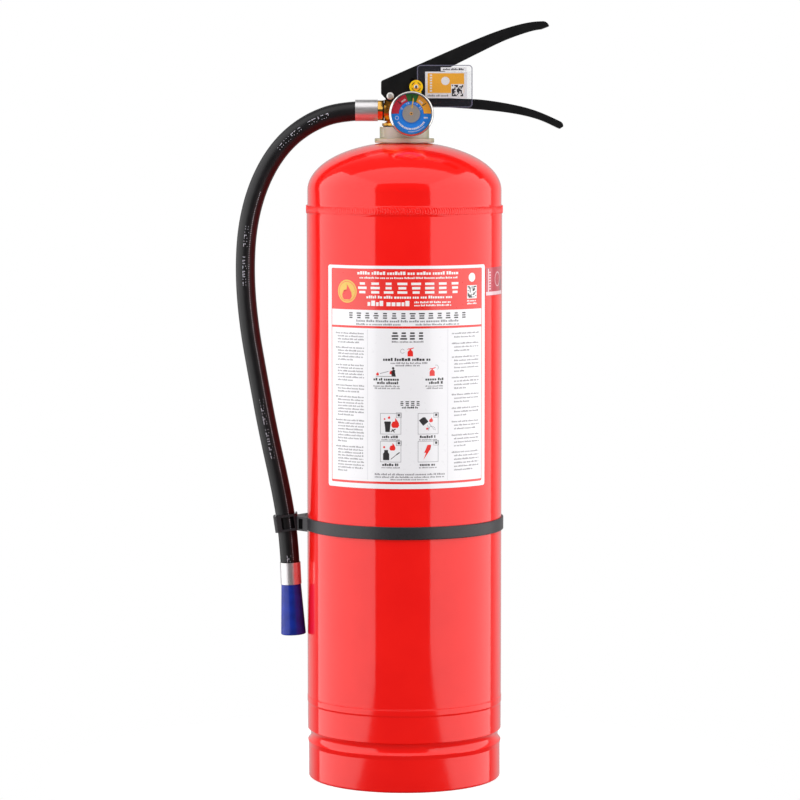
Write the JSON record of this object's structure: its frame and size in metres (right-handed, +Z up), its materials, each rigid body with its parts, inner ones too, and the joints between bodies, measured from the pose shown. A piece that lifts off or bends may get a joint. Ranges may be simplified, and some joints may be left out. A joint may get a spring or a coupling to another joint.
{
  "type": "fire extinguisher",
  "caption": "Portable dry-powder fire extinguisher: steel cylinder on a skirt, valve with squeeze and carry levers, gauge, safety pin, and a clipped side hose with a nozzle.",
  "frame": {"origin": "centre of the foot, on the floor that it stands on", "axes": "+Z up along the cylinder, -Y towards the front with the gauge and label, +X towards the tips of the levers, the hose at -X"},
  "size_m": [0.2675, 0.1632, 0.6208],
  "materials": {
    "red_enamel": "glossy sprayed enamel on steel",
    "neck_steel": "turned steel",
    "collar_plastic": "translucent moulded plastic",
    "valve_brass": "forged and turned brass",
    "stem_steel": "turned steel",
    "seal_rubber": "moulded rubber",
    "spring_wire": "drawn wire",
    "tube_plastic": "extruded plastic",
    "powder": "fine dry powder",
    "lever_black": "satin black powder coat on stamped steel",
    "plated_steel": "bright zinc plate",
    "seal_yellow": "moulded plastic",
    "tag_clear": "clear moulded plastic",
    "card_print": "printed card",
    "gauge_brass": "turned brass and drawn bronze",
    "bezel_chrome": "polished chrome",
    "dial_print": "printed dial",
    "pointer_metal": "brushed plate with an orange needle",
    "lens_clear": "clear window",
    "ferrule_aluminium": "drawn bright aluminium",
    "hose_rubber": "wrapped rubber with a cloth imprint",
    "nozzle_blue": "moulded plastic",
    "strap_plastic": "moulded flexible plastic",
    "label_print": "printed film",
    "side_print": "printed film"
  },
  "bodies": {
    "root": {"upper_dome": "red_enamel", "cylinder_shell": "red_enamel", "bottom_dome": "red_enamel", "base_ring": "red_enamel", "shoulder_weld": "red_enamel", "neck_boss": "neck_steel", "neck_collar": "collar_plastic", "valve_body": "valve_brass", "spring_retainer": "valve_brass", "neck_oring": "seal_rubber", "gauge_washer": "seal_rubber", "valve_spring": "spring_wire", "dip_tube": "tube_plastic", "powder_charge": "powder", "carry_handle": "lever_black", "pivot_rivet": "plated_steel", "handle_pin": "plated_steel", "gauge_case": "gauge_brass", "bourdon_coil": "gauge_brass", "gauge_bezel": "bezel_chrome", "gauge_dial": "dial_print", "gauge_lens": "lens_clear", "hose_strap": "strap_plastic", "hose_clip": "strap_plastic", "main_label": "label_print", "side_label": "side_print"},
    "lever": {"squeeze_lever": "lever_black"},
    "stem": {"valve_stem": "stem_steel", "stem_seal": "seal_rubber", "stem_oring": "seal_rubber"},
    "pin": {"safety_pin": "plated_steel"},
    "ring": {"pull_ring": "plated_steel"},
    "tag": {"tag_case": "tag_clear", "tag_card": "card_print", "tamper_seal": "seal_yellow"},
    "pointer": {"gauge_pointer": "pointer_metal"},
    "hose_line": {"hose_tail": "valve_brass", "hose_nut": "valve_brass", "outlet_oring": "seal_rubber", "upper_ferrule": "ferrule_aluminium", "hose": "hose_rubber", "lower_ferrule": "ferrule_aluminium", "nozzle": "nozzle_blue"}
  },
  "joints": [
    {"name": "lever_squeeze", "type": "hinge", "parent": "root", "child": "lever", "pos_m": [-0.0115, 0, 0.5604], "axis": [0, 1, 0], "range_deg": [0, 16], "stiffness_Nm_per_rad": 2, "springref_deg": -8.59},
    {"name": "stem_travel", "type": "slide", "parent": "root", "child": "stem", "axis": [0, 0, -1], "range_m": [0, 0.0043], "deforming": ["valve_spring"]},
    {"name": "pin_pull", "type": "slide", "parent": "root", "child": "pin", "axis": [0, 1, 0], "range_m": [0, 0.04]},
    {"name": "ring_swing", "type": "hinge", "parent": "pin", "child": "ring", "pos_m": [0.0095, 0.019, 0.5678], "axis": [1, 0, 0], "range_deg": [0, 150]},
    {"name": "tag_swing", "type": "hinge", "parent": "root", "child": "tag", "pos_m": [0.0095, -0.0149, 0.5678], "axis": [0, 1, 0], "range_deg": [-60, 8]},
    {"name": "pointer_turn", "type": "hinge", "parent": "root", "child": "pointer", "pos_m": [0.0055, -0.028, 0.5461], "axis": [0, 1, 0], "range_deg": [-53, 47], "stiffness_Nm_per_rad": 0.002},
    {"name": "hose_swing", "type": "hinge", "parent": "root", "child": "hose_line", "pos_m": [-0.0204, 0, 0.5488], "axis": [1, 0, 0], "range_deg": [0, 80]}
  ],
  "couplings": [
    {"joint": "stem_travel", "follows": "lever_squeeze", "m_per_rad": 0.01522}
  ]
}
